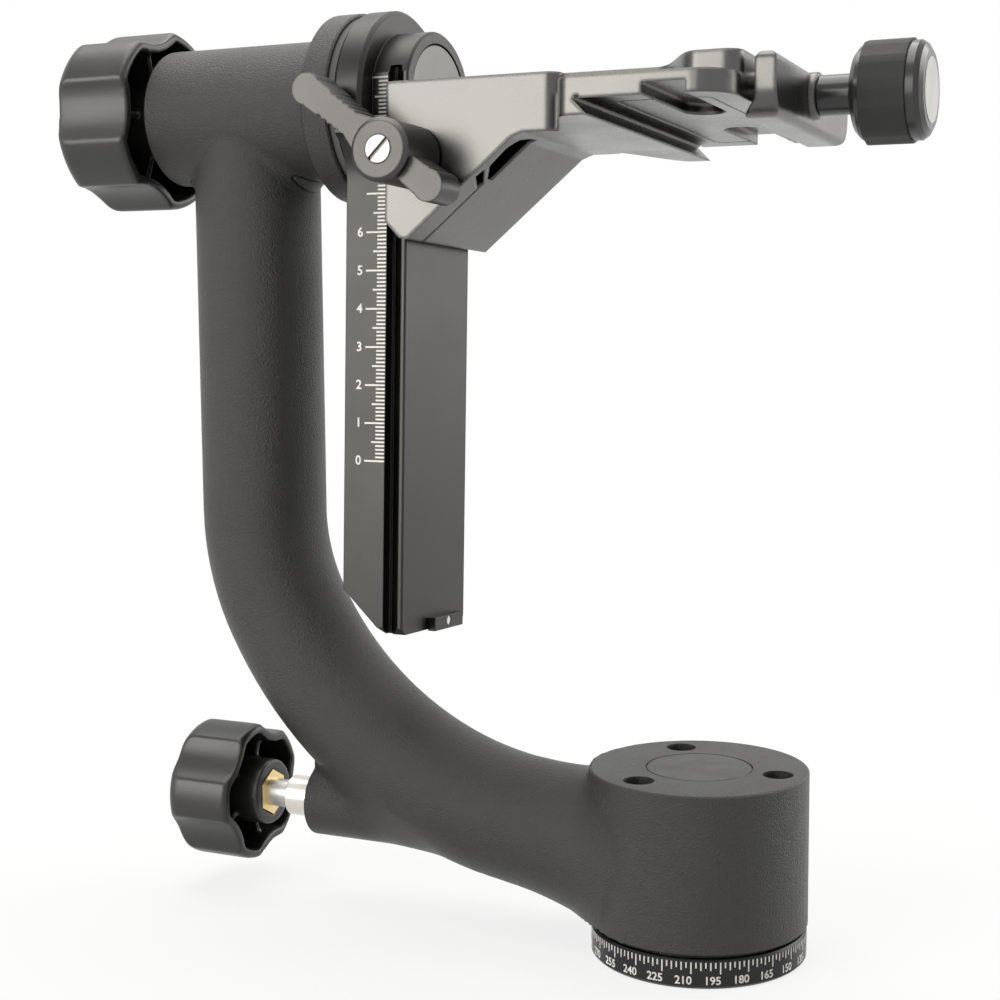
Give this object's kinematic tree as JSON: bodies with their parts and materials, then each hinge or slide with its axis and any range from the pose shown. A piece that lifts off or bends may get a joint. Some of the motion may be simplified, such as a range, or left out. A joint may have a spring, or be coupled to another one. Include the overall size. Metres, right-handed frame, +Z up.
{
  "type": "gimbal tripod head",
  "caption": "Gimbal tripod head: degree-dialled pan base, bent J-arm, tilting swing arm with a height rail, and a lens bracket with a quick-release dovetail clamp.",
  "frame": {"origin": "mouth of the tripod thread, centre of the base underside", "axes": "+Z up along the pan axis, +X from the tilt-lock knob towards the clamp knob, along the tilt axis, -Y towards the side with the centimetre scale and the rail lever"},
  "size_m": [0.2407, 0.0914, 0.2483],
  "materials": {
    "textured_black": "black fine-textured powder coat on cast aluminium",
    "anodised_black": "satin black anodised aluminium",
    "bracket_black": "semi-gloss black anodised aluminium",
    "dial_black": "black anodised, white degree marks",
    "machined_grey": "machined aluminium",
    "steel": "turned steel",
    "nickel": "nickel-plated, satin",
    "brass": "turned brass",
    "moulded_black": "black moulded plastic, lightly textured",
    "washer_plastic": "black low-friction plastic",
    "lever_black": "black satin coat on die-cast zinc",
    "gloss_black": "gloss black",
    "rubber": "black rubber",
    "disc_black": "satin black, turned face"
  },
  "bodies": {
    "base": {"base_plate": "machined_grey", "degree_dial": "dial_black", "tripod_thread_insert": "steel", "pan_spindle": "machined_grey", "spindle_screws": "steel", "spindle_nut": "steel", "pan_thrust_bearing": "brass"},
    "arm": {"j_arm": "textured_black", "housing_cap": "disc_black", "lower_pan_bearing": "steel", "upper_pan_bearing": "steel", "pan_lock_sleeve": "nickel", "front_tilt_bearing": "steel", "rear_tilt_bearing": "steel", "barrel_end_plug": "machined_grey", "thrust_ring": "washer_plastic"},
    "pan_brake": {"pan_push_rod": "steel", "pan_brake_shoe": "brass"},
    "pan_lock": {"pan_knob": "moulded_black", "pan_knob_hex_insert": "brass", "pan_lock_stud": "steel"},
    "tilt_brake": {"tilt_brake_pad": "brass"},
    "tilt_lock": {"tilt_knob": "moulded_black", "tilt_knob_hex_insert": "brass", "tilt_lock_stud": "steel"},
    "swing": {"swing_arm": "anodised_black", "hub_cap": "anodised_black", "tilt_axle": "steel", "axle_screws": "steel", "axle_nut": "steel", "stop_block": "anodised_black", "stop_screw": "steel"},
    "platform": {"lens_bracket": "bracket_black", "clamp_screw_insert": "brass", "lever_bolt_nut": "steel", "rail_plungers": "steel"},
    "lever": {"rail_lever": "lever_black", "lever_screw": "steel", "lever_bolt": "steel", "lever_washer": "washer_plastic"},
    "jaw": {"movable_jaw": "bracket_black", "guide_pins": "steel"},
    "clamp_knob": {"spacer_sleeve": "gloss_black", "clamp_knob_core": "gloss_black", "knob_grip_ring": "rubber", "knob_end_disc": "disc_black", "clamp_screw": "steel", "screw_retaining_ring": "steel"}
  },
  "joints": [
    {"name": "pan", "type": "hinge", "parent": "base", "child": "arm", "pos_m": [0, 0, 0], "axis": [0, 0, 1], "continuous": true},
    {"name": "tilt", "type": "hinge", "parent": "arm", "child": "swing", "pos_m": [-0.09, 0, 0.223], "axis": [1, 0, 0], "continuous": true},
    {"name": "height", "type": "slide", "parent": "swing", "child": "platform", "axis": [0, 0.0523, 0.9986], "range_m": [-0.0995, 0.004]},
    {"name": "pan_lock_travel", "type": "slide", "parent": "arm", "child": "pan_brake", "axis": [1, 0, 0], "range_m": [-0.0025, 0.00048]},
    {"name": "pan_lock_turn", "type": "hinge", "parent": "pan_brake", "child": "pan_lock", "pos_m": [-0.14, 0, 0.028], "axis": [1, 0, 0], "range_deg": [-730, 145]},
    {"name": "tilt_lock_travel", "type": "slide", "parent": "arm", "child": "tilt_brake", "axis": [1, 0, 0], "range_m": [-0.0025, 0.00048]},
    {"name": "tilt_lock_turn", "type": "hinge", "parent": "tilt_brake", "child": "tilt_lock", "pos_m": [-0.17, 0, 0.223], "axis": [1, 0, 0], "range_deg": [-730, 145]},
    {"name": "lever_turn", "type": "hinge", "parent": "platform", "child": "lever", "pos_m": [-0.0692, -0.03085, 0.20759], "axis": [0, 0.9986, -0.0523], "range_deg": [-150, 20]},
    {"name": "jaw_travel", "type": "slide", "parent": "platform", "child": "jaw", "axis": [1, 0, 0], "range_m": [-0.0014, 0.0045]},
    {"name": "clamp_knob_turn", "type": "hinge", "parent": "jaw", "child": "clamp_knob", "pos_m": [0.045, -0.00016, 0.2199], "axis": [1, 0, 0], "range_deg": [-412, 1308]}
  ],
  "couplings": [
    {"joint": "pan_lock_turn", "follows": "pan_lock_travel", "rad_per_m": 5026.5},
    {"joint": "tilt_lock_turn", "follows": "tilt_lock_travel", "rad_per_m": 5026.5},
    {"joint": "clamp_knob_turn", "follows": "jaw_travel", "rad_per_m": 5026.5}
  ]
}
